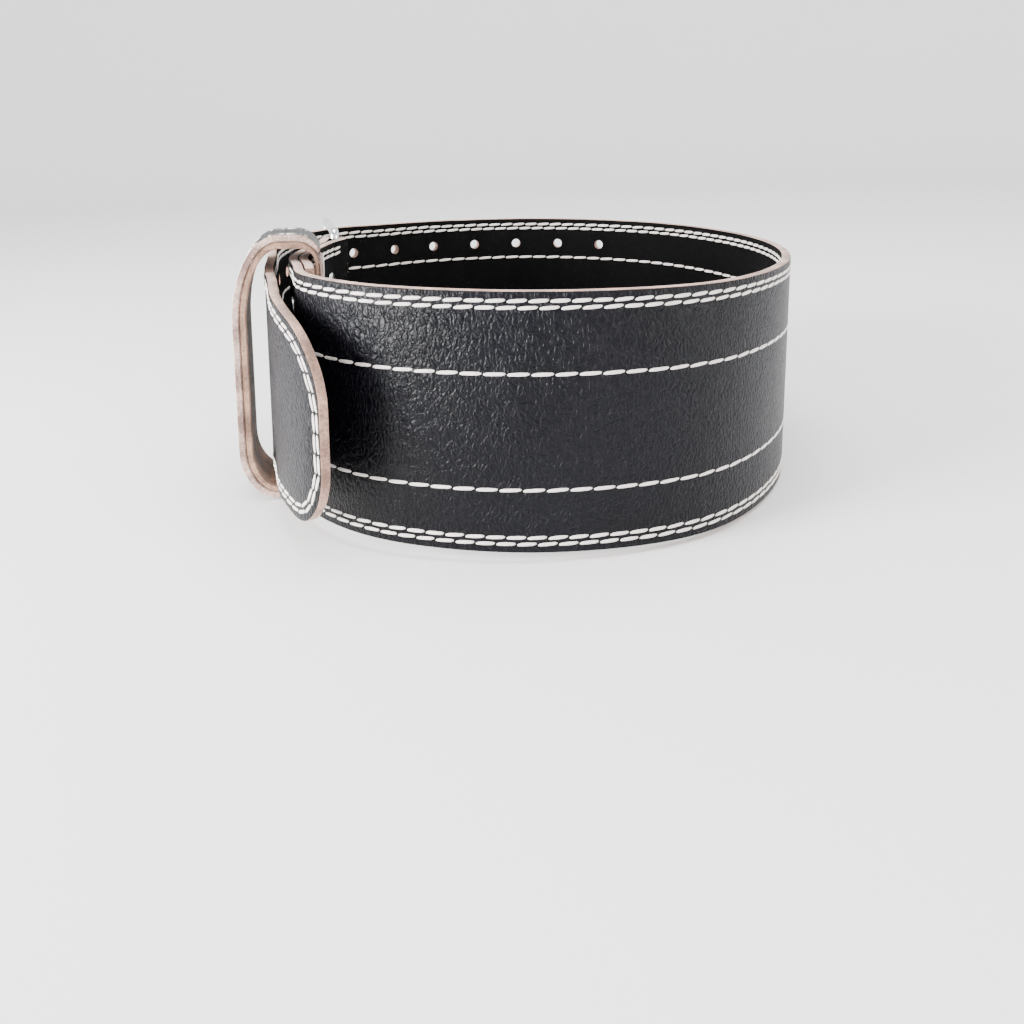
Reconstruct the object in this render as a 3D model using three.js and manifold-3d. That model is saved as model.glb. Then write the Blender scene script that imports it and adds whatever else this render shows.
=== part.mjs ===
// A wide leather lifting belt, fastened and standing on its edge.
// Millimetres, +Z up, the camera side is -Y. The belt is drawn with the strap's lower edge
// on Z = 0, then tipped by the small angle at which keeper and far edge share one floor.
import * as THREE from 'three';
import { mergeVertices } from 'three/addons/utils/BufferGeometryUtils.js';
import Module from 'manifold-3d';

const wasm = await Module();
wasm.setup();

// Strap
const STRAP_WIDTH = 101.6;
const STRAP_THICK = 4.2;
const FLAP_LENGTH = 117;
const LAYER_GAP = 0.4;

// Loop in plan, measured on the strap's middle line
const LOOP_WIDTH = 238;
const LOOP_DEPTH = 288;

// Tongue: the strap's second pass, outside the first
const TONGUE_WIDTH = 79;
const TIP_CORNER = 28;
const TAPER_START = 22;
const TAPER_END = 140;
const TIP_DROP = 5;
const DROP_RUN = 62;
const LAP_GAP = 4.8;
const LAP_LENGTH = 172;

// Prong holes
const HOLE_COUNT = 12;
const HOLE_PITCH = 28;
const HOLE_DIAMETER = 5.6;
const HOLE_EDGE = 16;
const TIP_TO_FIRST_HOLE = 118;
const PRONG_HOLE = 5;

// Buckle
const WIRE = 5;
const BUCKLE_PLAY = 0.7;
const BUCKLE_REACH = 61;
const ROLLER_DIAMETER = 9;
const ROLLER_LENGTH = 90;
const PRONG_WIRE = 4;
const PRONG_OVERHANG = 5;
const CLEARANCE = 0.3;

// Rivets, measured along the strap from the hinge bar
const RIVET_NEAR = 28;
const RIVET_FAR = 104;
const RIVET_EDGE = 19.5;
const RIVET_HEAD = 11;
const RIVET_HEAD_RISE = 2.2;
const RIVET_CAP_RISE = 1.2;
const RIVET_SHANK = 4;

// Keeper
const KEEPER_WIDTH = 34;
const KEEPER_CENTRE = 79;
const KEEPER_THICK = 6.1;
const KEEPER_LEG_THICK = 3.6;
const KEEPER_SLACK = 8;
const KEEPER_PLAY_TOP = 6;
const KEEPER_PLAY_BOTTOM = 1.4;

const STEP = 7;
const FINE_STEP = 2.5;
const ROUND_SIDES = 14;

// The loop in plan: reach is the share of the ellipse's radius at each bearing from +X.
// The first row is at the hinge bar, and the rows go round as the strap does.
const PLAN = [
  { bearing: 165, reach: 0.975 },
  { bearing: 180, reach: 0.964 },
  { bearing: 201, reach: 1.008 },
  { bearing: 213, reach: 1.016 },
  { bearing: 226, reach: 1.058 },
  { bearing: 244, reach: 1.028 },
  { bearing: 270, reach: 0.972 },
  { bearing: 298, reach: 1.004 },
  { bearing: 326, reach: 1.006 },
  { bearing: 0, reach: 1.008 },
  { bearing: 32, reach: 1.012 },
  { bearing: 60, reach: 1.016 },
  { bearing: 90, reach: 1.014 },
  { bearing: 118, reach: 1.054 },
  { bearing: 134, reach: 1.105 },
  { bearing: 145, reach: 1.16 },
];

// How the tongue leaves the loop, runs out over the buckle, lies down in the keeper and springs
// off again at its tip. Past is the place after the hinge bar as a share of the lap's length,
// and lift is the distance from the loop in laps of one strap and one gap.
const TONGUE = [
  { past: -0.46, lift: 0 },
  { past: -0.34, lift: 0.25 },
  { past: -0.25, lift: 0.75 },
  { past: -0.18, lift: 1.65 },
  { past: -0.07, lift: 2.4 },
  { past: 0.07, lift: 2.45 },
  { past: 0.24, lift: 1.95 },
  { past: 0.4, lift: 1.25 },
  { past: 0.56, lift: 1.25 },
  { past: 0.73, lift: 1.25 },
  { past: 0.87, lift: 1.85 },
  { past: 1, lift: 2.8 },
];

// The keeper's four rounded corners, as shares of the loop's own breadth and height.
const KEEPER_CORNERS = {
  outerTop: { across: 0.52, up: 0.33 },
  outerBottom: { across: 0.44, up: 0.2 },
  innerBottom: { across: 0.12, up: 0.06 },
  innerTop: { across: 0.29, up: 0.1 },
};

const UP = new THREE.Vector3(0, 0, 1);
const LAP = STRAP_THICK + LAP_GAP;
const MID_HEIGHT = STRAP_WIDTH / 2;
const LAYER_OFFSET = (STRAP_THICK + LAYER_GAP) / 2;
const FOLD_RADIUS = WIRE / 2 + CLEARANCE + STRAP_THICK / 2;
const FOLD_RUN = 4 * WIRE;
const BUCKLE_HEIGHT = STRAP_WIDTH + 2 * (BUCKLE_PLAY + WIRE);
const BUCKLE_CORNER = BUCKLE_PLAY + WIRE / 2;
const ROW_HEIGHTS = [HOLE_EDGE, STRAP_WIDTH - HOLE_EDGE];

const loop = makeLoop();
const loopLength = loop.getLength();
const lift = new THREE.CubicInterpolant(
  TONGUE.map((row) => loopLength + row.past * LAP_LENGTH),
  TONGUE.map((row) => row.lift * LAP),
  1,
  [0],
);
const path = makePath();
const tipAt = prongCrossing() + TIP_TO_FIRST_HOLE + (PRONG_HOLE - 1) * HOLE_PITCH;

function makeLoop() {
  const halfWidth = LOOP_WIDTH / 2;
  const halfDepth = LOOP_DEPTH / 2;
  const points = PLAN.map(({ bearing, reach }) => {
    const angle = THREE.MathUtils.degToRad(bearing);
    const radius = halfWidth * halfDepth
      / Math.hypot(halfDepth * Math.cos(angle), halfWidth * Math.sin(angle));
    return new THREE.Vector3(Math.cos(angle), Math.sin(angle), 0).multiplyScalar(radius * reach);
  });
  const curve = new THREE.CatmullRomCurve3(points, true, 'centripetal');
  curve.arcLengthDivisions = 4000;
  return curve;
}

// A place on the loop's middle line: its point, its direction and the way outward.
function stationAt(along) {
  const share = ((along / loopLength) % 1 + 1) % 1;
  const ahead = loop.getTangentAt(share);
  return { point: loop.getPointAt(share), ahead, out: rightOf(ahead) };
}

function rightOf(direction) {
  return new THREE.Vector3(direction.y, -direction.x, 0);
}

function pointAt(along, outward, height = 0) {
  const { point, out } = stationAt(along);
  return point.clone().addScaledVector(out, outward).setZ(height);
}

// How far the strap's middle line lies outside the loop, from the hinge bar to the tip.
function strapOffset(along) {
  const bulge = (FOLD_RADIUS - LAYER_OFFSET) * (1 - THREE.MathUtils.smoothstep(along, 0, FOLD_RUN));
  return bulge + lift.evaluate(along)[0];
}

// The strap's own middle line, with a straight run-out for whatever length the tongue has.
function makePath() {
  const length = loopLength + LAP_LENGTH;
  const steps = Math.round(length / STEP);
  const points = [];
  for (let i = 0; i <= steps; i += 1) {
    const along = (length * i) / steps;
    points.push(pointAt(along, strapOffset(along)));
  }
  const [before, end] = points.slice(-2);
  points.push(end.clone().addScaledVector(end.clone().sub(before).normalize(), LAP_LENGTH));
  const curve = new THREE.CatmullRomCurve3(points, false, 'centripetal');
  curve.arcLengthDivisions = 8000;
  return curve;
}

function pathPoint(travelled) {
  return path.getPointAt(travelled / path.getLength());
}

// The strap's lower and upper edge at a distance from the tip: round corners, narrow tongue,
// taper, and the tip sagging a little below the strap's own line.
function edgesAt(fromTip) {
  const { clamp, inverseLerp, smoothstep } = THREE.MathUtils;
  const across = Math.max(0, 1 - fromTip / TIP_CORNER);
  const corner = TIP_CORNER * (1 - Math.sqrt(1 - across * across));
  const taper = clamp(inverseLerp(TAPER_START, TAPER_END, fromTip), 0, 1);
  const half = THREE.MathUtils.lerp(TONGUE_WIDTH / 2, MID_HEIGHT, taper) - corner;
  const middle = MID_HEIGHT - TIP_DROP * (1 - smoothstep(fromTip, 0, DROP_RUN));
  return { low: middle - half, high: middle + half };
}

// Rows of corner points joined into one closed skin. A ring of rows closes on itself.
function loft(rows, ring) {
  const sides = rows[0].length;
  const positions = rows.flat().flatMap((corner) => corner.toArray());
  const index = [];
  const spans = ring ? rows.length : rows.length - 1;
  for (let i = 0; i < spans; i += 1) {
    const here = i * sides;
    const next = ((i + 1) % rows.length) * sides;
    for (let j = 0; j < sides; j += 1) {
      const k = (j + 1) % sides;
      index.push(here + j, here + k, next + k, here + j, next + k, next + j);
    }
  }
  if (!ring) {
    const last = (rows.length - 1) * sides;
    for (let j = 1; j < sides - 1; j += 1) {
      index.push(0, j + 1, j);
      index.push(last, last + j, last + j + 1);
    }
  }
  const geometry = new THREE.BufferGeometry();
  geometry.setAttribute('position', new THREE.Float32BufferAttribute(positions, 3));
  geometry.setIndex(index);
  return geometry;
}

function toSolid(geometry) {
  const bare = geometry.clone();
  bare.deleteAttribute('normal');
  bare.deleteAttribute('uv');
  const merged = mergeVertices(bare, 1e-4);
  return new wasm.Manifold(new wasm.Mesh({
    numProp: 3,
    vertProperties: new Float32Array(merged.attributes.position.array),
    triVerts: new Uint32Array(merged.index.array),
  }));
}

function toGeometry(solid) {
  const { vertProperties, triVerts } = solid.getMesh();
  const geometry = new THREE.BufferGeometry();
  geometry.setAttribute('position', new THREE.Float32BufferAttribute(vertProperties, 3));
  geometry.setIndex(new THREE.Uint32BufferAttribute(triVerts, 1));
  return geometry;
}

// A round pin along a direction, centred on a point.
function pin(diameter, length, centre, direction) {
  const geometry = new THREE.CylinderGeometry(diameter / 2, diameter / 2, length, ROUND_SIDES);
  geometry.applyQuaternion(new THREE.Quaternion().setFromUnitVectors(THREE.Object3D.DEFAULT_UP, direction));
  geometry.translate(centre.x, centre.y, centre.z);
  return geometry;
}

// The strap's middle line in plan: flap, fold round the hinge bar, loop and tongue.
function strapLine() {
  const line = [];
  const push = (point, fromTip) => line.push({ point, ...edgesAt(fromTip) });
  const flapSteps = Math.round(FLAP_LENGTH / STEP);
  for (let i = flapSteps; i > 0; i -= 1) {
    const along = (FLAP_LENGTH * i) / flapSteps;
    const bulge = strapOffset(along);
    push(pointAt(along, -2 * LAYER_OFFSET - bulge), tipAt);
  }
  const bar = hingeCentre();
  const { ahead, out } = stationAt(0);
  for (let i = 0; i <= ROUND_SIDES; i += 1) {
    const angle = Math.PI * (1 - i / ROUND_SIDES);
    const point = bar.clone()
      .addScaledVector(out, FOLD_RADIUS * Math.cos(angle))
      .addScaledVector(ahead, -FOLD_RADIUS * Math.sin(angle));
    push(point, tipAt);
  }
  const tipStart = tipAt - TIP_CORNER;
  const loopSteps = Math.round(tipStart / STEP);
  for (let i = 1; i <= loopSteps; i += 1) {
    const travelled = (tipStart * i) / loopSteps;
    push(pathPoint(travelled), tipAt - travelled);
  }
  const tipSteps = Math.round(TIP_CORNER / FINE_STEP);
  for (let i = 1; i <= tipSteps; i += 1) {
    const fromTip = TIP_CORNER * (1 - Math.sin((Math.PI / 2) * (i / tipSteps)));
    push(pathPoint(tipAt - fromTip), fromTip);
  }
  return line;
}

function strapBlank() {
  const line = strapLine();
  const rows = line.map(({ point, low, high }, i) => {
    const before = line[Math.max(0, i - 1)].point;
    const after = line[Math.min(line.length - 1, i + 1)].point;
    const right = rightOf(after.clone().sub(before).normalize()).multiplyScalar(STRAP_THICK / 2);
    const outer = point.clone().add(right);
    const inner = point.clone().sub(right);
    return [
      inner.clone().setZ(high),
      outer.clone().setZ(high),
      outer.clone().setZ(low),
      inner.clone().setZ(low),
    ];
  });
  return toSolid(loft(rows, false));
}

function hingeCentre() {
  return pointAt(0, -LAYER_OFFSET);
}

// The place between two others where a measure changes sign.
function bisect(from, to, measure) {
  let [near, far] = [from, to];
  for (let i = 0; i < 40; i += 1) {
    const middle = (near + far) / 2;
    if (measure(middle) * measure(near) > 0) near = middle;
    else far = middle;
  }
  return near;
}

// The roller bar lies outside the tongue, at the buckle's reach from the hinge bar.
function rollerCentre() {
  const hinge = hingeCentre();
  const clear = STRAP_THICK / 2 + CLEARANCE + ROLLER_DIAMETER / 2;
  const place = (back) => pointAt(loopLength - back, strapOffset(loopLength - back) + clear);
  return place(bisect(0, 2 * BUCKLE_REACH, (back) => place(back).distanceTo(hinge) - BUCKLE_REACH));
}

// The buckle's own directions: from hinge to roller, and outward across it.
function buckleFrame() {
  const hinge = hingeCentre();
  const roller = rollerCentre();
  const reach = roller.clone().sub(hinge);
  const ahead = reach.clone().normalize();
  return { hinge, roller, ahead, out: rightOf(ahead).negate(), length: reach.length() };
}

function buckleWire() {
  const { hinge, roller, ahead, out } = buckleFrame();
  const half = (BUCKLE_HEIGHT - WIRE) / 2;
  const cornerSteps = 5;
  const corners = [
    { centre: roller, side: 1, rise: -1, start: -90 },
    { centre: roller, side: 1, rise: 1, start: 0 },
    { centre: hinge, side: -1, rise: 1, start: 90 },
    { centre: hinge, side: -1, rise: -1, start: 180 },
  ];
  const rows = [];
  for (const { centre, side, rise, start } of corners) {
    for (let i = 0; i <= cornerSteps; i += 1) {
      const angle = THREE.MathUtils.degToRad(start + (90 * i) / cornerSteps);
      const tangent = ahead.clone().multiplyScalar(-Math.sin(angle)).addScaledVector(UP, Math.cos(angle));
      const middle = centre.clone()
        .addScaledVector(ahead, -side * BUCKLE_CORNER + BUCKLE_CORNER * Math.cos(angle))
        .setZ(MID_HEIGHT + rise * (half - BUCKLE_CORNER) + BUCKLE_CORNER * Math.sin(angle));
      rows.push(circleRow(middle, out, tangent.cross(out)));
    }
  }
  return loft(rows, true);
}

function circleRow(middle, first, second) {
  const row = [];
  for (let j = 0; j < ROUND_SIDES; j += 1) {
    const angle = (2 * Math.PI * j) / ROUND_SIDES;
    row.push(middle.clone()
      .addScaledVector(first, (WIRE / 2) * Math.cos(angle))
      .addScaledVector(second, (WIRE / 2) * Math.sin(angle)));
  }
  return row;
}

function rollerTube() {
  const inner = WIRE / 2 + CLEARANCE;
  const outer = ROLLER_DIAMETER / 2;
  const half = ROLLER_LENGTH / 2;
  const profile = [[inner, -half], [outer, -half], [outer, half], [inner, half], [inner, -half]];
  const tube = new THREE.LatheGeometry(profile.map(([r, h]) => new THREE.Vector2(r, h)), 2 * ROUND_SIDES);
  tube.rotateX(Math.PI / 2);
  return tube;
}

// The prong runs straight from its eye to the outside of the roller, and a little past it.
function prongStops(height) {
  const { hinge, ahead, out, length } = buckleFrame();
  const eye = (WIRE + PRONG_WIRE) / 2 + CLEARANCE;
  const rest = (ROLLER_DIAMETER + PRONG_WIRE) / 2 + CLEARANCE;
  const stops = [[eye, 0], [length - ROLLER_DIAMETER, rest], [length + PRONG_OVERHANG, rest]];
  return stops.map(([reach, side]) => hinge.clone()
    .addScaledVector(ahead, reach)
    .addScaledVector(out, side)
    .setZ(height));
}

// How far the strap has travelled where its second pass crosses the prongs' line.
function prongCrossing() {
  const [eye, rest] = prongStops(0);
  const across = rightOf(rest.clone().sub(eye).normalize());
  const length = path.getLength();
  return bisect(loopLength - BUCKLE_REACH, loopLength, (travelled) => (
    path.getPointAt(travelled / length).sub(eye).dot(across)));
}

function prongShank(height, thickness) {
  const section = new THREE.Shape().absarc(0, 0, thickness / 2, 0, 2 * Math.PI);
  return new THREE.ExtrudeGeometry(section, {
    steps: 2 * ROUND_SIDES,
    curveSegments: ROUND_SIDES / 2,
    bevelEnabled: false,
    extrudePath: new THREE.CatmullRomCurve3(prongStops(height), false, 'centripetal'),
  });
}

function prong(height) {
  const inner = WIRE / 2 + CLEARANCE;
  const outer = inner + PRONG_WIRE;
  const half = PRONG_WIRE / 2;
  const profile = [[inner, -half], [outer, -half], [outer, half], [inner, half], [inner, -half]];
  const eye = new THREE.LatheGeometry(profile.map(([r, h]) => new THREE.Vector2(r, h)), 2 * ROUND_SIDES);
  eye.rotateX(Math.PI / 2);
  const hinge = hingeCentre();
  eye.translate(hinge.x, hinge.y, height);
  return toGeometry(toSolid(eye).add(toSolid(prongShank(height, PRONG_WIRE))));
}

// What the prongs need: a slot through the fold at each eye, and room along each shank.
function prongCuts() {
  const hinge = hingeCentre();
  const slot = WIRE + 2 * (2 * CLEARANCE + PRONG_WIRE);
  const cuts = ROW_HEIGHTS.flatMap((height) => [
    toSolid(pin(slot, PRONG_WIRE + 4 * CLEARANCE, hinge.clone().setZ(height), UP)),
    toSolid(prongShank(height, PRONG_WIRE + 3 * CLEARANCE)),
  ]);
  return cuts.reduce((whole, cut) => whole.add(cut));
}

function prongHoles() {
  const holes = [];
  for (let i = 0; i < HOLE_COUNT; i += 1) {
    const travelled = tipAt - TIP_TO_FIRST_HOLE - i * HOLE_PITCH;
    const out = rightOf(path.getTangentAt(travelled / path.getLength()));
    for (const height of ROW_HEIGHTS) {
      holes.push(toSolid(pin(HOLE_DIAMETER, 2 * STRAP_THICK, pathPoint(travelled).setZ(height), out)));
    }
  }
  return holes.reduce((whole, hole) => whole.add(hole));
}

// Six rivets in two rows across the fold, each with its place and its outward direction.
function rivetPlaces() {
  const places = [];
  for (const along of [RIVET_NEAR, RIVET_FAR]) {
    for (const height of [RIVET_EDGE, MID_HEIGHT, STRAP_WIDTH - RIVET_EDGE]) {
      const { out } = stationAt(along);
      places.push({ centre: pointAt(along, -LAYER_OFFSET, height), out });
    }
  }
  return places;
}

function rivetHoles() {
  const holes = rivetPlaces().map(({ centre, out }) => (
    toSolid(pin(RIVET_SHANK + 2 * CLEARANCE, 4 * STRAP_THICK, centre, out))));
  return holes.reduce((whole, hole) => whole.add(hole));
}

function rivet({ centre, out }) {
  const face = LAYER_OFFSET + STRAP_THICK / 2 + CLEARANCE;
  const shank = RIVET_SHANK / 2;
  const head = RIVET_HEAD / 2;
  const profile = [[0, -face - RIVET_CAP_RISE], [head * 0.8, -face - RIVET_CAP_RISE]];
  profile.push([head * 0.9, -face - RIVET_CAP_RISE / 2], [head * 0.9, -face], [shank, -face]);
  profile.push([shank, face], [head, face]);
  const domeSteps = 5;
  for (let i = 1; i <= domeSteps; i += 1) {
    const angle = (Math.PI / 2) * (i / domeSteps);
    profile.push([i === domeSteps ? 0 : head * Math.cos(angle), face + RIVET_HEAD_RISE * Math.sin(angle)]);
  }
  const geometry = new THREE.LatheGeometry(profile.map(([r, h]) => new THREE.Vector2(r, h)), ROUND_SIDES);
  geometry.applyQuaternion(new THREE.Quaternion().setFromUnitVectors(THREE.Object3D.DEFAULT_UP, out));
  geometry.translate(centre.x, centre.y, centre.z);
  return geometry;
}

function strap() {
  const cut = prongHoles().add(rivetHoles()).add(prongCuts());
  return toGeometry(strapBlank().subtract(cut));
}

// Where the flap's inner face and the tongue's outer face lie, a little past the keeper's width.
function keeperRoom() {
  const { point, out } = stationAt(KEEPER_CENTRE);
  const side = (along, outward) => pointAt(along, outward).sub(point).dot(out);
  const reach = KEEPER_WIDTH / 2 + STRAP_THICK;
  const places = [-1, -1 / 2, 0, 1 / 2, 1].map((share) => KEEPER_CENTRE + share * reach);
  const flap = -2 * LAYER_OFFSET - STRAP_THICK / 2;
  const tongue = (along) => strapOffset(loopLength + along) + STRAP_THICK / 2;
  return {
    inner: Math.min(...places.map((along) => side(along, flap))),
    outer: Math.max(...places.map((along) => side(along, tongue(along)))),
  };
}

// One outline of the keeper across the strap: x is outward from the strap, y is up.
function keeperOutline(outline, inset, legInset) {
  const room = keeperRoom();
  const outer = room.outer + KEEPER_SLACK + KEEPER_THICK - inset;
  const inner = room.inner - CLEARANCE - KEEPER_LEG_THICK + legInset;
  const top = STRAP_WIDTH + KEEPER_PLAY_TOP + KEEPER_THICK - inset;
  const bottom = -KEEPER_PLAY_BOTTOM - KEEPER_THICK + inset;
  const breadth = outer - inner + inset + legInset;
  const height = top - bottom + 2 * inset;
  const { outerTop, outerBottom, innerBottom, innerTop } = KEEPER_CORNERS;
  const corner = (place, right, up, start) => {
    const across = place.across * breadth - (right > 0 ? inset : legInset);
    const rise = place.up * height - inset;
    const x = (right > 0 ? outer : inner) - right * across;
    const y = (up > 0 ? top : bottom) - up * rise;
    outline.absellipse(x, y, across, rise, start, start + Math.PI / 2, false, 0);
  };
  outline.moveTo(outer, top - outerTop.up * height + inset);
  corner(outerTop, 1, 1, 0);
  corner(innerTop, -1, 1, Math.PI / 2);
  corner(innerBottom, -1, -1, Math.PI);
  corner(outerBottom, 1, -1, 1.5 * Math.PI);
  outline.closePath();
  return outline;
}

function keeper() {
  const outline = keeperOutline(new THREE.Shape(), 0, 0);
  outline.holes.push(keeperOutline(new THREE.Path(), KEEPER_THICK, KEEPER_LEG_THICK));
  const geometry = new THREE.ExtrudeGeometry(outline, {
    depth: KEEPER_WIDTH,
    curveSegments: ROUND_SIDES,
    bevelEnabled: false,
  });
  geometry.translate(0, 0, -KEEPER_WIDTH / 2);
  const { point, ahead, out } = stationAt(KEEPER_CENTRE);
  geometry.applyMatrix4(new THREE.Matrix4().makeBasis(out, UP, out.clone().cross(UP)));
  geometry.translate(point.x, point.y, 0);
  return geometry;
}

const leather = { color: 0x17181b, roughness: 0.45, metalness: 0 };
const rawLeather = { color: 0x9c8074, roughness: 0.85, metalness: 0 };
const chrome = { color: 0xc9ccd0, roughness: 0.18, metalness: 1 };

function addPiece(group, name, geometry, finish) {
  const mesh = new THREE.Mesh(geometry, new THREE.MeshStandardMaterial(finish));
  mesh.name = name;
  group.add(mesh);
  return mesh;
}

function makeBelt() {
  const belt = new THREE.Group();
  addPiece(belt, 'belt_strap', strap(), leather);
  addPiece(belt, 'keeper_loop', keeper(), rawLeather);
  addPiece(belt, 'buckle_frame', buckleWire(), chrome);
  const roller = addPiece(belt, 'buckle_roller', rollerTube(), chrome);
  roller.position.copy(rollerCentre()).setZ(MID_HEIGHT);
  const [lowRow, highRow] = ROW_HEIGHTS;
  addPiece(belt, 'prong_lower', prong(lowRow), chrome);
  addPiece(belt, 'prong_upper', prong(highRow), chrome);
  rivetPlaces().forEach((place, i) => addPiece(belt, `rivet_${i + 1}`, rivet(place), chrome));
  return belt;
}

// Tips the belt so that its lowest fitting and the far edge of the strap share the floor, and
// puts the origin in the middle of the underside.
function standOnFloor(belt) {
  const drop = Math.max(BUCKLE_PLAY + WIRE, KEEPER_PLAY_BOTTOM + KEEPER_THICK);
  const span = new THREE.Box3().setFromObject(belt.getObjectByName('belt_strap'), true).max.x
    - stationAt(KEEPER_CENTRE).point.x;
  belt.rotation.y = Math.atan2(drop, span);
  const stand = new THREE.Group();
  stand.add(belt);
  stand.updateMatrixWorld(true);
  const box = new THREE.Box3().setFromObject(stand, true);
  const middle = box.getCenter(new THREE.Vector3());
  belt.position.set(-middle.x, -middle.y, -box.min.z);
  return stand;
}

export default standOnFloor(makeBelt());
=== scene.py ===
import bmesh
import bpy
import math
import random

from mathutils import Matrix, Vector
from mathutils.bvhtree import BVHTree


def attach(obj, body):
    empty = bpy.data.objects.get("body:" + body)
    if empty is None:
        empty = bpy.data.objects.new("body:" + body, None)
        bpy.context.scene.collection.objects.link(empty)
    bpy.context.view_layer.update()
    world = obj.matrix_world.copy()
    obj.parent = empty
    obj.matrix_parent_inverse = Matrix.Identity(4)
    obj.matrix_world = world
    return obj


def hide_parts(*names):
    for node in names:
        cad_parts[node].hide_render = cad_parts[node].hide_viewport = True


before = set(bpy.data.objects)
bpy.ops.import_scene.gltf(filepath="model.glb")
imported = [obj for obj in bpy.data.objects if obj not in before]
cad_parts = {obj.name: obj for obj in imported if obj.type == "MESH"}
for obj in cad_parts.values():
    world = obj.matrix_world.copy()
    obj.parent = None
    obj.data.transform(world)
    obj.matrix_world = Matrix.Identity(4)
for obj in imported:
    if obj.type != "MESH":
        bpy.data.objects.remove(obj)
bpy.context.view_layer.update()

# The strap: one long piece of thick leather, black on both faces, folded back round
# the buckle's bar and riveted. Its edges are cut raw and only lightly rounded, so the pinkish
# tan of the hide shows along them. Every piece is shaped upright and then leaned with the
# belt, which rests on the keeper's foot and on the far edge of the strap.
belt_lean = 0.03183434
belt_place = Vector((0.0088779, -0.0001979, 0.0042691))
standing = Matrix.Translation(belt_place) @ Matrix.Rotation(belt_lean, 4, "Y")
upright = standing.inverted()


def make_piece(name, mesh, materials, slot, *nodes):
    mesh.transform(standing)
    piece = bpy.data.objects.new(name, mesh)
    bpy.context.scene.collection.objects.link(piece)
    for material in materials:
        mesh.materials.append(material)
    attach(piece, "root")
    if nodes:
        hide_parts(*nodes)
    return piece


def cad_copy(node):
    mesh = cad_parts[node].data.copy()
    mesh.materials.clear()
    mesh.transform(upright)
    shape = bmesh.new()
    shape.from_mesh(mesh)
    bmesh.ops.remove_doubles(shape, verts=shape.verts, dist=0.00001)
    shape.to_mesh(mesh)
    shape.free()
    return mesh


strap_width = 0.1016
edge_round = 0.0006
shortest_rounded_edge = 0.002
facing_share = 0.6
buckle_bar = Vector((-0.1109, 0.0304))
fold_reach = 0.018
flat_enough = math.radians(0.4)
leather_crease_angle = math.radians(35)
BLACK_FACE, INSIDE_FACE, CUT_EDGE = 0, 1, 2


def leather_grain(name, colour, worn_colour, gloss, roughness, grain_depth, crease_depth):
    material = bpy.data.materials.new(name)
    material.use_nodes = True
    nodes, links = material.node_tree.nodes, material.node_tree.links
    shader = nodes["Principled BSDF"]
    place = nodes.new("ShaderNodeTexCoord")
    wander = nodes.new("ShaderNodeTexNoise")
    wander.inputs["Scale"].default_value = 160
    wander.inputs["Detail"].default_value = 3
    links.new(place.outputs["Object"], wander.inputs["Vector"])
    bend = nodes.new("ShaderNodeVectorMath")
    bend.operation = "MULTIPLY_ADD"
    bend.inputs[1].default_value = (0.004, 0.004, 0.004)
    links.new(wander.outputs["Color"], bend.inputs[0])
    links.new(place.outputs["Object"], bend.inputs[2])
    pebbles = nodes.new("ShaderNodeTexVoronoi")
    pebbles.feature = "DISTANCE_TO_EDGE"
    pebbles.inputs["Scale"].default_value = 620
    links.new(bend.outputs["Vector"], pebbles.inputs["Vector"])
    rounded = nodes.new("ShaderNodeMapRange")
    rounded.interpolation_type = "SMOOTHSTEP"
    rounded.inputs["From Max"].default_value = 0.22
    links.new(pebbles.outputs["Distance"], rounded.inputs["Value"])
    stretch = nodes.new("ShaderNodeMapping")
    stretch.inputs["Rotation"].default_value = (0.4, 0.4, 0.0)
    stretch.inputs["Scale"].default_value = (1.25, 1.25, 0.6)
    links.new(bend.outputs["Vector"], stretch.inputs["Vector"])
    creases = nodes.new("ShaderNodeTexVoronoi")
    creases.feature = "DISTANCE_TO_EDGE"
    creases.inputs["Scale"].default_value = 400
    links.new(stretch.outputs["Vector"], creases.inputs["Vector"])
    furrow = nodes.new("ShaderNodeMapRange")
    furrow.interpolation_type = "SMOOTHSTEP"
    furrow.inputs["From Max"].default_value = 0.24
    links.new(creases.outputs["Distance"], furrow.inputs["Value"])
    patches = nodes.new("ShaderNodeTexNoise")
    patches.inputs["Scale"].default_value = 14
    patches.inputs["Detail"].default_value = 4
    links.new(place.outputs["Object"], patches.inputs["Vector"])
    worn = nodes.new("ShaderNodeMapRange")
    worn.inputs["From Min"].default_value = 0.35
    worn.inputs["From Max"].default_value = 0.7
    links.new(patches.outputs["Fac"], worn.inputs["Value"])
    tint = nodes.new("ShaderNodeMix")
    tint.data_type = "RGBA"
    tint.inputs["A"].default_value = (*colour, 1)
    tint.inputs["B"].default_value = (*worn_colour, 1)
    links.new(worn.outputs["Result"], tint.inputs["Factor"])
    links.new(tint.outputs["Result"], shader.inputs["Base Color"])
    polish = nodes.new("ShaderNodeMapRange")
    polish.inputs["To Min"].default_value = roughness - 0.06
    polish.inputs["To Max"].default_value = roughness + 0.08
    links.new(patches.outputs["Fac"], polish.inputs["Value"])
    links.new(polish.outputs["Result"], shader.inputs["Roughness"])
    crease_bump = nodes.new("ShaderNodeBump")
    crease_bump.inputs["Distance"].default_value = crease_depth
    links.new(furrow.outputs["Result"], crease_bump.inputs["Height"])
    pull = nodes.new("ShaderNodeMapRange")
    pull.inputs["To Min"].default_value = 0.55
    links.new(worn.outputs["Result"], pull.inputs["Value"])
    links.new(pull.outputs["Result"], crease_bump.inputs["Strength"])
    grain_bump = nodes.new("ShaderNodeBump")
    grain_bump.inputs["Strength"].default_value = 0.8
    grain_bump.inputs["Distance"].default_value = grain_depth
    links.new(rounded.outputs["Result"], grain_bump.inputs["Height"])
    links.new(crease_bump.outputs["Normal"], grain_bump.inputs["Normal"])
    links.new(grain_bump.outputs["Normal"], shader.inputs["Normal"])
    shader.inputs["Specular IOR Level"].default_value = gloss
    return material


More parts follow.
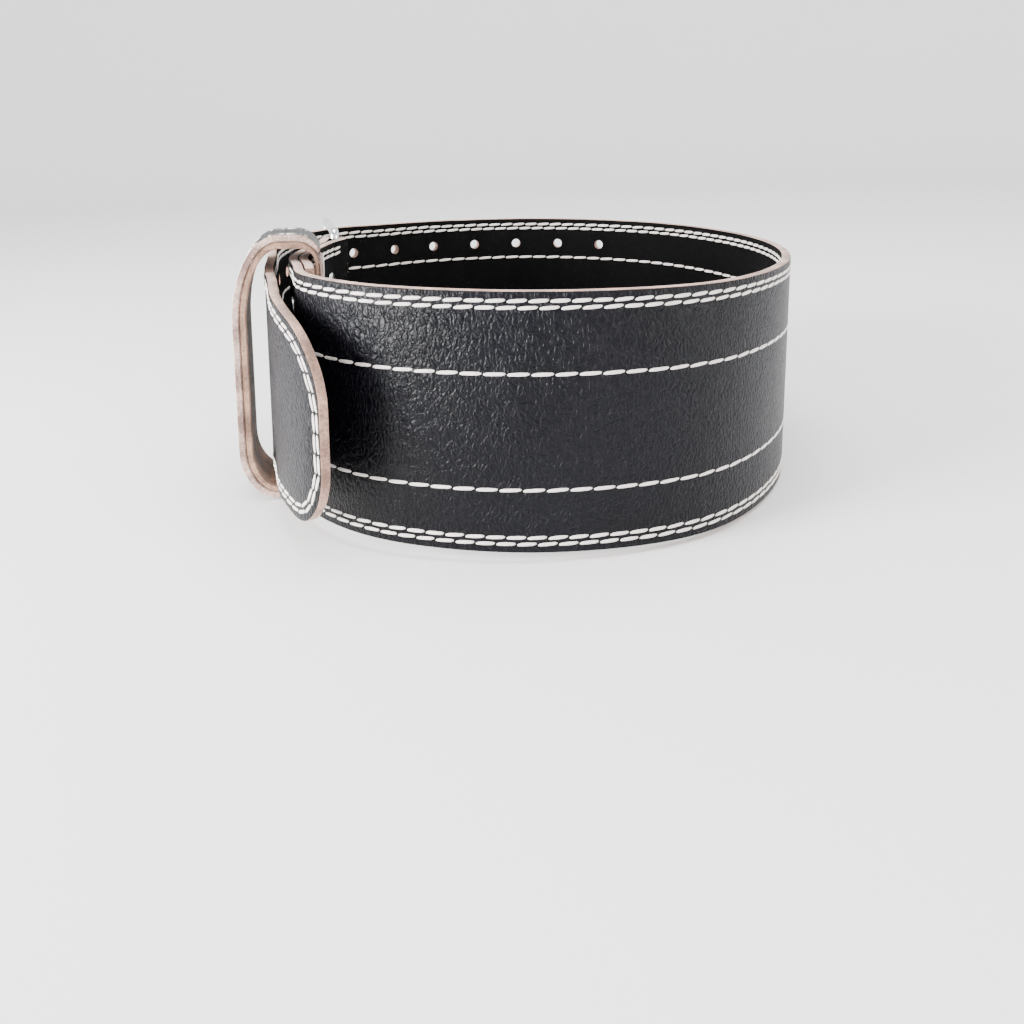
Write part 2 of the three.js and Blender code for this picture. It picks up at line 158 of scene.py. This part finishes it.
def raw_edge(name, light, dark):
    material = bpy.data.materials.new(name)
    material.use_nodes = True
    nodes, links = material.node_tree.nodes, material.node_tree.links
    shader = nodes["Principled BSDF"]
    place = nodes.new("ShaderNodeTexCoord")
    fibres = nodes.new("ShaderNodeTexNoise")
    fibres.inputs["Scale"].default_value = 900
    fibres.inputs["Detail"].default_value = 6
    fibres.inputs["Roughness"].default_value = 0.7
    links.new(place.outputs["Object"], fibres.inputs["Vector"])
    stains = nodes.new("ShaderNodeTexNoise")
    stains.inputs["Scale"].default_value = 90
    stains.inputs["Detail"].default_value = 3
    links.new(place.outputs["Object"], stains.inputs["Vector"])
    both = nodes.new("ShaderNodeMath")
    both.operation = "MULTIPLY"
    links.new(fibres.outputs["Fac"], both.inputs[0])
    links.new(stains.outputs["Fac"], both.inputs[1])
    spread = nodes.new("ShaderNodeMapRange")
    spread.inputs["From Min"].default_value = 0.17
    spread.inputs["From Max"].default_value = 0.36
    links.new(both.outputs["Value"], spread.inputs["Value"])
    tint = nodes.new("ShaderNodeMix")
    tint.data_type = "RGBA"
    tint.inputs["A"].default_value = (*dark, 1)
    tint.inputs["B"].default_value = (*light, 1)
    links.new(spread.outputs["Result"], tint.inputs["Factor"])
    links.new(tint.outputs["Result"], shader.inputs["Base Color"])
    bump = nodes.new("ShaderNodeBump")
    bump.inputs["Strength"].default_value = 0.7
    bump.inputs["Distance"].default_value = 0.0003
    links.new(fibres.outputs["Fac"], bump.inputs["Height"])
    links.new(bump.outputs["Normal"], shader.inputs["Normal"])
    shader.inputs["Roughness"].default_value = 0.85
    shader.inputs["Sheen Weight"].default_value = 0.25
    return material


black_grain = leather_grain("black_grain", colour=(0.0013, 0.0013, 0.0024),
                            worn_colour=(0.003, 0.003, 0.0055), gloss=0.14, roughness=0.33,
                            grain_depth=0.00010, crease_depth=0.00030)
black_inside = leather_grain("black_inside", colour=(0.0008, 0.0008, 0.0009),
                             worn_colour=(0.002, 0.002, 0.0022), gloss=0.06, roughness=0.75,
                             grain_depth=0.0001, crease_depth=0.0001)
strap_edge = raw_edge("strap_edge", (0.60, 0.36, 0.265), (0.20, 0.11, 0.08))

bpy.ops.object.select_all(action="DESELECT")
strap_mesh = cad_copy("belt_strap")
strap = bpy.data.objects.new("leather_strap", strap_mesh)
bpy.context.scene.collection.objects.link(strap)
bpy.context.view_layer.objects.active = strap
strap.select_set(True)
bpy.ops.object.mode_set(mode="EDIT")
bpy.ops.mesh.select_all(action="SELECT")
bpy.ops.mesh.dissolve_limited(angle_limit=flat_enough)
shape = bmesh.from_edit_mesh(strap_mesh)
for face in shape.faces:
    middle = face.calc_center_median()
    outward = face.normal.dot(Vector((middle.x, middle.y, 0)).normalized())
    if abs(outward) < facing_share:
        face.material_index = CUT_EDGE
    else:
        face.material_index = BLACK_FACE if outward > 0 else INSIDE_FACE
bpy.ops.mesh.select_all(action="DESELECT")
bpy.ops.mesh.select_mode(type="EDGE")
for edge in shape.edges:
    kinds = {face.material_index == CUT_EDGE for face in edge.link_faces}
    near_fold = min((corner.co.xy - buckle_bar).length for corner in edge.verts) < fold_reach
    long_enough = edge.calc_length() > shortest_rounded_edge
    edge.select_set(len(kinds) == 2 and not near_fold and long_enough)
bmesh.update_edit_mesh(strap_mesh)
bpy.ops.mesh.bevel(offset=edge_round, segments=2, clamp_overlap=False, material=CUT_EDGE)
bpy.ops.object.mode_set(mode="OBJECT")
faces_by_ray = BVHTree.FromObject(strap, bpy.context.evaluated_depsgraph_get())
bpy.ops.object.shade_smooth_by_angle(angle=leather_crease_angle)
strap_mesh.transform(standing)
for material in (black_grain, black_inside, strap_edge):
    strap_mesh.materials.append(material)
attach(strap, "root")
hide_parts("belt_strap")

# The stitching: waxed cream thread, two rows side by side round the whole edge and one row
# each side of the middle that turns round on the tongue. It is sewn through, so both faces of
# the strap show it. A row follows the strap's face, which is found by looking out from the
# middle of the waist: bearings are degrees round it and go past one turn along the tongue.
edge_row_insets = (0.0036, 0.0062)
middle_rows = (0.0252, 0.0703)
middle_rows_inside = (0.0252, 0.0765)
middle_rows_end = 0.860
middle_corner = 0.016
middle_bend_steps = 12
edge_pitch = 0.0080
middle_pitch = 0.0090
stitch_gap = 0.0006
thread_width = 0.0016
thread_rise = 0.0009
thread_slant = 0.00015
thread_shear = 0.0009
turn = 360
hidden_start = 173
flap_bearings = (170, 218)
bearing_step = 0.5
track_height = 0.040
height_step = 0.001
height_halvings = 5
same_face = 0.0015
past_face = 0.0001
strap_reach = 0.115
random.seed(4)


def faces_along(bearing, height):
    direction = Vector((math.cos(math.radians(bearing)), math.sin(math.radians(bearing)), 0))
    start, found = Vector((0, 0, height)), []
    while True:
        point, normal, _, _ = faces_by_ray.ray_cast(start, direction)
        if point is None:
            return found
        found.append((point, normal))
        start = point + direction * past_face


def track(first, last, choose, side):
    stations, travelled, before = [], 0.0, None
    for i in range(int((last - first) / bearing_step) + 1):
        bearing = first + i * bearing_step
        found = faces_along(bearing, track_height)
        if bearing > turn + hidden_start and len(found) == 2:
            break
        point, normal = choose(bearing, found)
        flat = Vector((point.x, point.y, 0))
        if before is not None:
            travelled += (flat - before).length
        before = flat
        if normal.dot(flat) * side < 0:
            normal = -normal
        stations.append((travelled, flat, Vector((normal.x, normal.y, 0)), bearing))
    return stations


def on_track(stations, place):
    low, high = 0, len(stations) - 1
    while high - low > 1:
        middle = (low + high) // 2
        if stations[middle][0] <= place.x:
            low = middle
        else:
            high = middle
    share = (place.x - stations[low][0]) / (stations[high][0] - stations[low][0])
    point = stations[low][1].lerp(stations[high][1], share)
    normal = stations[low][2].lerp(stations[high][2], share)
    return point + Vector((0, 0, place.y)), normal.normalized()


def edge_height(station, upward):
    def leather_at(height):
        distances = [point.xy.length for point, _ in faces_along(station[3], height)]
        return any(abs(distance - station[1].length) < same_face for distance in distances)

    outside = strap_width + height_step / 2 if upward else -height_step / 2
    step = -height_step if upward else height_step
    while not leather_at(outside + step):
        outside += step
    inside = outside + step
    for _ in range(height_halvings):
        middle = (inside + outside) / 2
        if leather_at(middle):
            inside = middle
        else:
            outside = middle
    return inside


def outline(stations):
    upper = [Vector((station[0], edge_height(station, True))) for station in stations]
    lower = [Vector((station[0], edge_height(station, False))) for station in stations]
    return upper + lower[::-1]


def inset(line, distance):
    moved = []
    for i, place in enumerate(line):
        ahead = line[min(i + 2, len(line) - 1)] - line[max(i - 2, 0)]
        moved.append(place + Vector((ahead.y, -ahead.x)).normalized() * distance)
    return moved


def middle_row(stations, low, high):
    end = middle_rows_end - (stations[0][3] - hidden_start) * math.radians(1) * strap_reach
    upper = [Vector((s[0], high)) for s in stations if s[0] < end - middle_corner]
    lower = [Vector((s[0], low)) for s in stations if s[0] < end - middle_corner]
    bend = []
    for step in range(middle_bend_steps + 1):
        angle = math.radians(180 * step / middle_bend_steps)
        level = high - middle_corner if 2 * step < middle_bend_steps else low + middle_corner
        bend.append(Vector((end - middle_corner + middle_corner * math.sin(angle),
                            level + middle_corner * math.cos(angle))))
    return upper + bend + lower[::-1]


def sew(line, pitch, left=0.0):
    seam = []
    for start, end in zip(line, line[1:]):
        length = (end[0] - start[0]).length
        while left < length:
            share = left / length
            seam.append((start[0].lerp(end[0], share), start[1].lerp(end[1], share)))
            left += pitch
        left -= length
    share = 1 - stitch_gap / pitch
    return [(here[0], here[0].lerp(there[0], share), here[1])
            for here, there in zip(seam, seam[1:])]


def thread_shape():
    bpy.ops.mesh.primitive_uv_sphere_add(segments=8, ring_count=6, radius=0.5, location=(0, 0, 0))
    ball = bpy.context.object
    corners = [v.co.copy() for v in ball.data.vertices]
    faces = [tuple(p.vertices) for p in ball.data.polygons]
    bpy.data.objects.remove(ball)
    blunt = [Vector((math.copysign(abs(2 * c.z) ** 0.5 / 2, c.z), c.x, c.y)) for c in corners]
    return blunt, faces


thread_corners, thread_faces = thread_shape()


def thread_mesh(name, stitches):
    corners, faces = [], []
    for start, end, normal in stitches:
        along = end - start
        across = normal.cross(along).normalized()
        up = along.cross(across).normalized()
        slant = thread_slant * random.uniform(0.3, 1.7)
        middle = (start + end) / 2
        first = len(corners)
        for c in thread_corners:
            corners.append(middle + along * c.x + along.normalized() * (c.y * thread_shear)
                           + across * (c.y * thread_width + slant * c.x * 2)
                           + up * (c.z * thread_rise))
        faces += [tuple(first + i for i in face) for face in thread_faces]
    mesh = bpy.data.meshes.new(name)
    mesh.from_pydata(corners, [], faces)
    mesh.shade_smooth()
    shape = bmesh.new()
    shape.from_mesh(mesh)
    bmesh.ops.recalc_face_normals(shape, faces=shape.faces)
    shape.to_mesh(mesh)
    shape.free()
    return mesh


def waxed_thread():
    material = bpy.data.materials.new("cream_thread")
    material.use_nodes = True
    nodes, links = material.node_tree.nodes, material.node_tree.links
    shader = nodes["Principled BSDF"]
    place = nodes.new("ShaderNodeTexCoord")
    soil = nodes.new("ShaderNodeTexNoise")
    soil.inputs["Scale"].default_value = 220
    soil.inputs["Detail"].default_value = 4
    links.new(place.outputs["Object"], soil.inputs["Vector"])
    tint = nodes.new("ShaderNodeMix")
    tint.data_type = "RGBA"
    tint.inputs["A"].default_value = (0.60, 0.52, 0.46, 1)
    tint.inputs["B"].default_value = (1.0, 0.95, 0.91, 1)
    links.new(soil.outputs["Fac"], tint.inputs["Factor"])
    links.new(tint.outputs["Result"], shader.inputs["Base Color"])
    twist = nodes.new("ShaderNodeTexWave")
    twist.bands_direction = "DIAGONAL"
    twist.inputs["Scale"].default_value = 420
    twist.inputs["Distortion"].default_value = 1.5
    links.new(place.outputs["Object"], twist.inputs["Vector"])
    bump = nodes.new("ShaderNodeBump")
    bump.inputs["Strength"].default_value = 0.5
    bump.inputs["Distance"].default_value = 0.0002
    links.new(twist.outputs["Fac"], bump.inputs["Height"])
    links.new(bump.outputs["Normal"], shader.inputs["Normal"])
    shader.inputs["Roughness"].default_value = 0.55
    return material


cream_thread = waxed_thread()


def outer_face(bearing, found):
    return found[-3] if bearing < turn and len(found) > 2 else found[-1]


def inner_face(bearing, found):
    return found[0] if bearing < turn else found[-2]


def flap_face(bearing, found):
    return found[0]


outer = track(hidden_start, 2 * turn, outer_face, 1)
inner = track(flap_bearings[1] + 4, 2 * turn, inner_face, -1)
flap = track(*flap_bearings, flap_face, -1)
for name, stations, rows in (("stitching_outside", outer, middle_rows),
                             ("stitching_inside", inner, middle_rows_inside)):
    edge = outline(stations)
    lines = [(inset(edge, edge_row_insets[0]), edge_pitch, 0.0),
             (inset(edge, edge_row_insets[1]), edge_pitch, edge_pitch / 2),
             (middle_row(stations, *rows), middle_pitch, 0.0)]
    stitches = []
    for line, pitch, left in lines:
        within = [Vector((min(max(place.x, 0.0), stations[-1][0]), place.y)) for place in line]
        stitches += sew([on_track(stations, place) for place in within], pitch, left)
    make_piece(name, thread_mesh(name, stitches), [cream_thread], "black_leather")
flap_stitches = []
for distance in edge_row_insets:
    for height in (distance, strap_width - distance):
        line = [(s[1] + Vector((0, 0, height)), s[2]) for s in flap]
        flap_stitches += sew(line, edge_pitch)
make_piece("stitching_flap", thread_mesh("stitching_flap", flap_stitches), [cream_thread],
           "black_leather")

# The metal: a roller buckle of plated steel wire with two prongs, and six domed rivets that
# hold the strap's fold. Each keeps the shape of its solid, shaded smooth as drawn wire and
# polished heads are.
metal_crease_angle = math.radians(40)
rivet_count = 6
metal_finish = bpy.data.materials.new("polished_plating")
metal_finish.use_nodes = True
metal_nodes, metal_links = metal_finish.node_tree.nodes, metal_finish.node_tree.links
metal_shader = metal_nodes["Principled BSDF"]
metal_shader.inputs["Metallic"].default_value = 1.0
metal_shader.inputs["Base Color"].default_value = (0.78, 0.79, 0.81, 1)
metal_place = metal_nodes.new("ShaderNodeTexCoord")
smears = metal_nodes.new("ShaderNodeTexNoise")
smears.inputs["Scale"].default_value = 70
smears.inputs["Detail"].default_value = 5
metal_links.new(metal_place.outputs["Object"], smears.inputs["Vector"])
polish = metal_nodes.new("ShaderNodeMapRange")
polish.inputs["To Min"].default_value = 0.10
polish.inputs["To Max"].default_value = 0.30
metal_links.new(smears.outputs["Fac"], polish.inputs["Value"])
metal_links.new(polish.outputs["Result"], metal_shader.inputs["Roughness"])
scratches = metal_nodes.new("ShaderNodeBump")
scratches.inputs["Strength"].default_value = 0.15
scratches.inputs["Distance"].default_value = 0.0001
metal_links.new(smears.outputs["Fac"], scratches.inputs["Height"])
metal_links.new(scratches.outputs["Normal"], metal_shader.inputs["Normal"])

metal_pieces = {"buckle_frame": "steel_frame", "buckle_roller": "steel_roller",
                "prong_lower": "steel_prong_lower", "prong_upper": "steel_prong_upper"}
metal_pieces.update({f"rivet_{i}": f"domed_rivet_{i}" for i in range(1, rivet_count + 1)})
for node, name in metal_pieces.items():
    piece = make_piece(name, cad_copy(node), [metal_finish], "steel", node)
    bpy.ops.object.select_all(action="DESELECT")
    bpy.context.view_layer.objects.active = piece
    piece.select_set(True)
    bpy.ops.object.shade_smooth_by_angle(angle=metal_crease_angle)

# The keeper: two plies of leather, sewn along both sides. The inner one is a closed ring, tan
# towards the tongue. The outer one is black with a pale raw edge and goes once round, with its
# two ends left a little apart at the top of the inner leg.
keeper_width = 0.034
keeper_centre = Vector((-0.11345677, -0.04845437, 0))
keeper_out = Vector((-0.97439665, -0.22483586, 0))
keeper_ahead = Vector((0.22483586, -0.97439665, 0))
keeper_left, keeper_right = 0.0269876, -0.0132965
keeper_top, keeper_bottom = 0.1137, -0.0075
keeper_thick, leg_thick = 0.0061, 0.0036
keeper_corners = {
    "outer_top": (0.52, 0.33),
    "outer_bottom": (0.44, 0.2),
    "inner_bottom": (0.12, 0.06),
    "inner_top": (0.29, 0.1),
}
ply_gap = 0.00025
ply_edge_round = 0.0005
ply_edge_angle = 0.9
corner_steps = 12


def keeper_line(depth):
    breadth, height = keeper_left - keeper_right, keeper_top - keeper_bottom
    line = []
    for name, right, up, start in (("outer_top", 1, 1, 0), ("inner_top", -1, 1, 90),
                                   ("inner_bottom", -1, -1, 180), ("outer_bottom", 1, -1, 270)):
        across, rise = keeper_corners[name]
        side = keeper_thick if right > 0 else leg_thick
        across, rise = across * breadth - depth * side, rise * height - depth * keeper_thick
        x = (keeper_left if right > 0 else keeper_right) - right * (depth * side + across)
        y = (keeper_top if up > 0 else keeper_bottom) - up * (depth * keeper_thick + rise)
        for i in range(corner_steps + 1):
            angle = math.radians(start + 90 * i / corner_steps)
            line.append((x + across * math.cos(angle), y + rise * math.sin(angle)))
    return line


def keeper_ply(name, outside, inside, first, last, finishes):
    outer_line, inner_line = keeper_line(outside), keeper_line(inside)
    steps = range(first, last)
    corners, faces = [], []
    for i in steps:
        for line in (outer_line, inner_line):
            x, y = line[i % len(line)]
            for end in (-0.5, 0.5):
                corners.append(keeper_centre + keeper_out * x + keeper_ahead * (end * keeper_width)
                               + Vector((0, 0, y)))
    count = len(steps)
    closed = count == len(outer_line)
    for i in range(count if closed else count - 1):
        a, b = 4 * i, 4 * ((i + 1) % count)
        faces += [(a, b, b + 1, a + 1), (a + 2, a + 3, b + 3, b + 2)]
        faces += [(a, a + 2, b + 2, b), (a + 1, b + 1, b + 3, a + 3)]
    kinds = [BLACK_FACE, INSIDE_FACE, CUT_EDGE, CUT_EDGE] * (len(faces) // 4)
    if not closed:
        last_row = 4 * (count - 1)
        faces += [(0, 1, 3, 2), (last_row, last_row + 2, last_row + 3, last_row + 1)]
        kinds += [CUT_EDGE, CUT_EDGE]
    mesh = bpy.data.meshes.new(name)
    mesh.from_pydata(corners, [], faces)
    for polygon, kind in zip(mesh.polygons, kinds):
        polygon.material_index = kind
    shape = bmesh.new()
    shape.from_mesh(mesh)
    bmesh.ops.recalc_face_normals(shape, faces=shape.faces)
    sharp = [edge for edge in shape.edges if edge.calc_face_angle(0) > ply_edge_angle]
    bmesh.ops.bevel(shape, geom=sharp, offset=ply_edge_round, segments=2, affect="EDGES",
                    clamp_overlap=True, material=CUT_EDGE)
    shape.to_mesh(mesh)
    shape.free()
    piece = make_piece(name, mesh, finishes, "keeper_leather", "keeper_loop")
    bpy.ops.object.select_all(action="DESELECT")
    bpy.context.view_layer.objects.active = piece
    piece.select_set(True)
    bpy.ops.object.shade_smooth_by_angle(angle=leather_crease_angle)


keeper_pale_edge = raw_edge("keeper_pale_edge", (0.76, 0.54, 0.46), (0.22, 0.13, 0.105))
keeper_tan = raw_edge("keeper_tan", (0.52, 0.31, 0.21), (0.17, 0.095, 0.065))
half_ply = ply_gap / keeper_thick / 2
ring = 4 * (corner_steps + 1)
keeper_ply("keeper_inner_ply", 0.5 + half_ply, 1.0, 0, ring,
           [black_grain, keeper_tan, keeper_tan])
inner_leg_end = 2 * (corner_steps + 1) - 4
inner_leg_start = inner_leg_end + 3
keeper_ply("keeper_outer_ply", 0.0, 0.5 - half_ply, inner_leg_start, ring + inner_leg_end + 1,
           [black_grain, keeper_tan, keeper_pale_edge])

keeper_row_insets = (0.0036, 0.0066)
keeper_stitches = []
face_line = keeper_line(0)[inner_leg_start:] + keeper_line(0)[:inner_leg_end + 1]
for inset_from_edge in keeper_row_insets:
    for side in (-1, 1):
        shift = keeper_ahead * (side * (keeper_width / 2 - inset_from_edge))
        row = []
        for i, (x, y) in enumerate(face_line):
            before, after = face_line[max(i - 1, 0)], face_line[min(i + 1, len(face_line) - 1)]
            normal = keeper_out * (after[1] - before[1]) + Vector((0, 0, before[0] - after[0]))
            place = keeper_centre + keeper_out * x + Vector((0, 0, y)) + shift
            row.append((place, normal.normalized()))
        keeper_stitches += sew(row, edge_pitch)
    top_x, top_y = face_line[0]
    row = []
    for side in (-1, 1):
        shift = keeper_ahead * (side * (keeper_width / 2 - inset_from_edge))
        place = keeper_centre + keeper_out * top_x + Vector((0, 0, top_y - inset_from_edge))
        row.append((place + shift, -keeper_out))
    keeper_stitches += sew(row, edge_pitch)
make_piece("keeper_stitching", thread_mesh("keeper_stitching", keeper_stitches), [cream_thread],
           "keeper_leather")

# The studio: a pale floor that curves up into a wall all round, under broad soft lights, and
# a camera that stands and looks as the photograph's does.
camera_place = Vector((0, -0.49145, 0.16049))
camera_pitch = math.radians(80)
camera_data = bpy.data.cameras.new("camera")
camera_data.lens = 34.2
camera_data.sensor_width = 36
camera_data.shift_x = -0.0277
camera_data.shift_y = -0.2084
camera = bpy.data.objects.new("camera", camera_data)
bpy.context.scene.collection.objects.link(camera)
camera_pose = Matrix.Translation(camera_place) @ Matrix.Rotation(camera_pitch, 4, "X")
camera.matrix_world = standing @ camera_pose
bpy.context.scene.camera = camera

bowl_floor, bowl_bend, bowl_top = 2.2, 1.0, 3.4
bowl_sides, bowl_bend_steps = 64, 16
profile = [(0.2, 0.0), (bowl_floor, 0.0)]
for step in range(1, bowl_bend_steps + 1):
    angle = math.radians(90 * step / bowl_bend_steps)
    profile.append((bowl_floor + bowl_bend * math.sin(angle),
                    bowl_bend - bowl_bend * math.cos(angle)))
profile.append((bowl_floor + bowl_bend, bowl_top))
corners, faces = [(0, 0, 0)], []
for i in range(bowl_sides):
    around = 2 * math.pi * i / bowl_sides
    corners += [(reach * math.cos(around), reach * math.sin(around), level)
                for reach, level in profile]
for i in range(bowl_sides):
    here, there = 1 + i * len(profile), 1 + (i + 1) % bowl_sides * len(profile)
    faces.append((0, here, there))
    faces += [(here + k, here + k + 1, there + k + 1, there + k)
              for k in range(len(profile) - 1)]
bowl_mesh = bpy.data.meshes.new("studio_floor")
bowl_mesh.from_pydata(corners, [], faces)
bowl_mesh.shade_smooth()
floor = bpy.data.objects.new("studio_floor", bowl_mesh)
bpy.context.scene.collection.objects.link(floor)
floor_paint = bpy.data.materials.new("floor_paint")
floor_paint.use_nodes = True
floor_shader = floor_paint.node_tree.nodes["Principled BSDF"]
floor_shader.inputs["Base Color"].default_value = (0.93, 0.93, 0.93, 1)
floor_shader.inputs["Roughness"].default_value = 0.9
bowl_mesh.materials.append(floor_paint)

world = bpy.data.worlds.new("studio_air")
bpy.context.scene.world = world
world.use_nodes = True
air = world.node_tree.nodes["Background"]
air.inputs["Color"].default_value = (1, 1, 1, 1)
air.inputs["Strength"].default_value = 0.5
for name, place, aim, size, power in (
        ("left_light", (-1.05, -0.62, 0.34), (0, 0, 0.06), 0.55, 58),
        ("right_light", (1.2, -0.6, 0.36), (0, 0, 0.06), 0.5, 12),
        ("top_light", (0.1, -0.1, 1.5), (0, 0, 0.05), 0.9, 12),
        ("sky_light", (0.0, 0.0, 3.3), (0, 0, 0), 3.0, 110)):
    lamp_data = bpy.data.lights.new(name, "AREA")
    lamp_data.size = size
    lamp_data.energy = power
    lamp = bpy.data.objects.new(name, lamp_data)
    bpy.context.scene.collection.objects.link(lamp)
    lamp.location = place
    lamp.rotation_euler = (Vector(aim) - Vector(place)).to_track_quat("-Z", "Y").to_euler()
